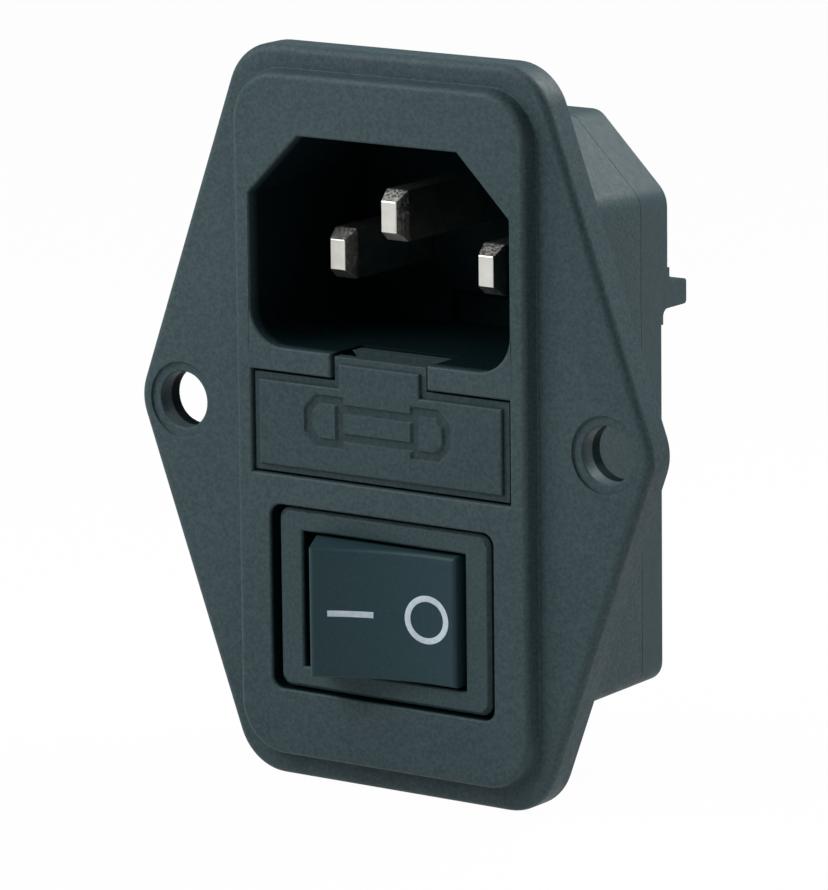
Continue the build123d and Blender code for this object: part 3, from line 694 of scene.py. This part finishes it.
def drawer_panel():
    """The raised T of the drawer's face.

    Each grid point's depth is the front face, plus a quarter-round fall within the edge
    radius of the outline, plus the sign's depth. The rim then drops to below the border.
    """
    x, z = panel_grid()
    fall = np.clip(PANEL_EDGE - inside_panel(x, z), 0.0, PANEL_EDGE)
    y = FRONT_Y + PANEL_EDGE - np.sqrt(PANEL_EDGE ** 2 - fall ** 2) + sign_depth(x, z)
    points = np.stack([x, y, z], axis=-1).reshape(-1, 3)
    index = np.arange(x.size).reshape(x.shape)
    quads = np.stack(
        [index[:-1, :-1], index[:-1, 1:], index[1:, 1:], index[1:, :-1]], axis=-1
    ).reshape(-1, 4)
    middle = points[quads].mean(axis=1)
    inside = (np.abs(middle[:, 0]) < TAB_HALF) | (middle[:, 2] < PANEL_TOP_Z)
    quads = quads[inside]
    # The rim: every edge that only one quad uses, carried back under the border
    edges = np.concatenate([quads[:, [i, (i + 1) % 4]] for i in range(4)])
    keys = np.sort(edges, axis=1)
    _, first, count = np.unique(keys, axis=0, return_index=True, return_counts=True)
    rim_edges = edges[first[count == 1]]
    back = points.copy()
    back[:, 1] = BORDER_Y + PANEL_LAP
    walls = np.stack(
        [rim_edges[:, 1], rim_edges[:, 0], rim_edges[:, 0] + len(points),
         rim_edges[:, 1] + len(points)], axis=-1,
    )
    points = np.concatenate([points, back])
    quads = np.concatenate([quads, walls])
    used, renumbered = np.unique(quads, return_inverse=True)
    return points[used], renumbered.reshape(quads.shape)


piece("drawer_panel", *drawer_panel(), drawer_plastic, "fuse_drawer", "moulding",
      smooth_angle=50.0)


# ---- printed marks of the rocker ----

INK_THICK = 0.012
MARK_WIDTH = 0.48
BAR_MARK = (-4.65, -1.05, 0.0)          # start and stop along the face, place across it
RING_MARK = (3.45, 0.0, 1.67)           # middle along and across the face, radius
RING_TURNS = 96
BAR_STEPS = 27

# Section of a printed line: its corners across the line, and off the face
MARK_REACH = np.array([-1.0, -0.94, 0.94, 1.0, 0.94, -0.94]) * MARK_WIDTH / 2
MARK_LIFT = np.array([0.3, 1.0, 1.0, 0.3, -1.0, -1.0]) * INK_THICK


def on_rocker(along, across, lift):
    """Points on the rocker's hollow face, lifted off it, turned to the rest pose.

    The face is an arc about a line in front of the rocker, so a point's depth is that
    line's depth plus the root of the radius squared less the distance along squared.
    """
    radius = (ROCKER_HALF ** 2 + ROCKER_HOLLOW ** 2) / (2 * ROCKER_HOLLOW)
    depth = ROCKER_HOLLOW - ROCKER_RISE - radius + np.sqrt(radius ** 2 - along ** 2) - lift
    cos, sin = math.cos(ROCKER_TILT), math.sin(ROCKER_TILT)
    return np.stack(
        [
            ROCKER_PIVOT[0] + along * cos - depth * sin,
            ROCKER_PIVOT[1] + along * sin + depth * cos,
            ROCKER_PIVOT[2] + across,
        ],
        axis=-1,
    )


def section_sides(here, following, count):
    """Faces from each row of a section's corners to the row that follows it."""
    i, j = np.meshgrid(here, np.arange(count), indexing="ij")
    k, m = np.meshgrid(following, (np.arange(count) + 1) % count, indexing="ij")
    return np.stack(
        [i * count + j, k * count + j, k * count + m, i * count + m], axis=-1
    ).reshape(-1, 4)


def ring_mark():
    """A flat printed ring: the section carried round a circle on the face."""
    turn = np.linspace(0.0, 2 * math.pi, RING_TURNS, endpoint=False)[:, None]
    radius = RING_MARK[2] + MARK_REACH
    along = RING_MARK[0] + radius * np.cos(turn)
    across = RING_MARK[1] + radius * np.sin(turn)
    points = on_rocker(along, across, MARK_LIFT)
    rows = np.arange(RING_TURNS)
    sides = section_sides(rows, (rows + 1) % RING_TURNS, len(MARK_REACH))
    return points.reshape(-1, 3), sides[:, ::-1]


def bar_mark():
    """A printed bar: the section carried along the face, both ends closed."""
    start, stop, middle = BAR_MARK
    along, reach = np.meshgrid(
        np.linspace(start, stop, BAR_STEPS + 1), MARK_REACH, indexing="ij"
    )
    points = on_rocker(along, middle + reach, MARK_LIFT)
    rows = np.arange(BAR_STEPS)
    sides = section_sides(rows, rows + 1, len(MARK_REACH))
    last = BAR_STEPS * len(MARK_REACH)
    caps = [[0, 1, 2, 5], [2, 3, 4, 5], [last + 5, last + 2, last + 1, last],
            [last + 5, last + 4, last + 3, last + 2]]
    return points.reshape(-1, 3), np.concatenate([sides, np.array(caps)])


piece("rocker_ring_mark", *ring_mark(), ink, "rocker", "rocker_plastic")
piece("rocker_bar_mark", *bar_mark(), ink, "rocker", "rocker_plastic")


# ---- studio ----

FLOOR_DROP = 0.00005          # metres under the module
FLOOR_HALF = 1.4              # metres
PAPER_GREY = (0.7, 0.7, 0.7, 1.0)
PAPER_GLOW = 0.98             # share that glows by itself where the paper is seen
FILL_TINT = (0.96, 0.98, 1.0, 1.0)
FILL_STRENGTH = 0.14


def pale_paper():
    """Paper that a camera and a reflection see nearly white, under a soft shadow."""
    material = bpy.data.materials.new("studio_paper")
    material.use_nodes = True
    tree = material.node_tree
    shader = tree.nodes["Principled BSDF"]
    shader.inputs["Base Color"].default_value = PAPER_GREY
    shader.inputs["Roughness"].default_value = 0.9
    glow = tree.nodes.new("ShaderNodeEmission")
    glow.inputs["Strength"].default_value = 1.0
    path = tree.nodes.new("ShaderNodeLightPath").outputs
    seen = reckon(tree, "MAXIMUM", path["Is Camera Ray"], path["Is Glossy Ray"])
    seen = reckon(tree, "MAXIMUM", seen, path["Is Transmission Ray"])
    mix = tree.nodes.new("ShaderNodeMixShader")
    tree.links.new(reckon(tree, "MULTIPLY", seen, PAPER_GLOW), mix.inputs["Fac"])
    tree.links.new(shader.outputs[0], mix.inputs[1])
    tree.links.new(glow.outputs[0], mix.inputs[2])
    tree.links.new(mix.outputs[0], tree.nodes["Material Output"].inputs["Surface"])
    return material


def paper_floor(level):
    """A flat pale floor under the module."""
    points = [(x * FLOOR_HALF, y * FLOOR_HALF, level)
              for x, y in ((-1, -1), (1, -1), (1, 1), (-1, 1))]
    mesh = bpy.data.meshes.new("floor")
    mesh.from_pydata(points, [], [(0, 1, 2, 3)])
    mesh.materials.append(pale_paper())
    floor = placed("floor", mesh)


def pale_world():
    """A white surround: even light on the object, plain white to the camera."""
    world = bpy.data.worlds.new("studio")
    world.use_nodes = True
    tree = world.node_tree
    fill = tree.nodes["Background"]
    fill.inputs["Color"].default_value = FILL_TINT
    fill.inputs["Strength"].default_value = FILL_STRENGTH
    seen = tree.nodes.new("ShaderNodeBackground")
    seen.inputs["Strength"].default_value = 1.0
    seen.inputs["Color"].default_value = (1.0, 1.0, 1.0, 1.0)
    path = tree.nodes.new("ShaderNodeLightPath")
    mix = tree.nodes.new("ShaderNodeMixShader")
    tree.links.new(path.outputs["Is Camera Ray"], mix.inputs["Fac"])
    tree.links.new(fill.outputs[0], mix.inputs[1])
    tree.links.new(seen.outputs[0], mix.inputs[2])
    tree.links.new(mix.outputs[0], tree.nodes["World Output"].inputs["Surface"])
    bpy.context.scene.world = world


def lamp(name, place, size, watts):
    """A square soft lamp that faces the module's middle, its place and size in metres."""
    data = bpy.data.lights.new(name, "AREA")
    data.shape = "SQUARE"
    data.size = size
    data.energy = watts
    obj = placed(name, data)
    obj.location = place
    obj.rotation_mode = "QUATERNION"
    obj.rotation_quaternion = (-Vector(place)).to_track_quat("-Z", "Y")


# The photo's camera: degrees, millimetres and the photo's own pixels
CAMERA_AZIMUTH = 35.231
CAMERA_ELEVATION = 11.534
CAMERA_ROLL = -0.590
CAMERA_DISTANCE = 495.182
CAMERA_SLIDE = (-2.317, -0.272)
FOCAL_PIXELS = 6407.12
AXIS_PIXEL = (438.833, 417.956)
PHOTO_WIDE = 828.0
PHOTO_HIGH = 890.0


def photo_camera():
    """The camera that saw the photograph, as solved from the module's edges."""
    azimuth, elevation = math.radians(CAMERA_AZIMUTH), math.radians(CAMERA_ELEVATION)
    roll = math.radians(CAMERA_ROLL)
    back = Vector((
        math.sin(azimuth) * math.cos(elevation),
        -math.cos(azimuth) * math.cos(elevation),
        math.sin(elevation),
    ))
    level = Vector((math.cos(azimuth), math.sin(azimuth), 0.0))
    rise = back.cross(level)
    right = level * math.cos(roll) + rise * math.sin(roll)
    up = -level * math.sin(roll) + rise * math.cos(roll)
    eye = back * CAMERA_DISTANCE - right * CAMERA_SLIDE[0] - up * CAMERA_SLIDE[1]
    data = bpy.data.cameras.new("camera")
    data.sensor_width = 36.0
    data.lens = FOCAL_PIXELS / PHOTO_HIGH * data.sensor_width
    data.shift_x = (PHOTO_WIDE / 2 - AXIS_PIXEL[0]) / PHOTO_HIGH
    data.shift_y = (AXIS_PIXEL[1] - PHOTO_HIGH / 2) / PHOTO_HIGH
    data.clip_start = 0.01
    data.clip_end = 10.0
    camera = placed("camera", data)
    turned = Matrix((right, up, back)).transposed().to_4x4()
    camera.matrix_world = Matrix.Translation(eye * MM) @ turned
    bpy.context.scene.camera = camera


paper_floor(cad_low.z - FLOOR_DROP)
pale_world()
lamp("key_softbox", (-0.1, -0.11, 0.13), 0.17, 0.385)
lamp("back_softbox", (0.075, 0.12, 0.155), 0.1, 0.47)
photo_camera()
bpy.context.scene.view_settings.view_transform = "Standard"
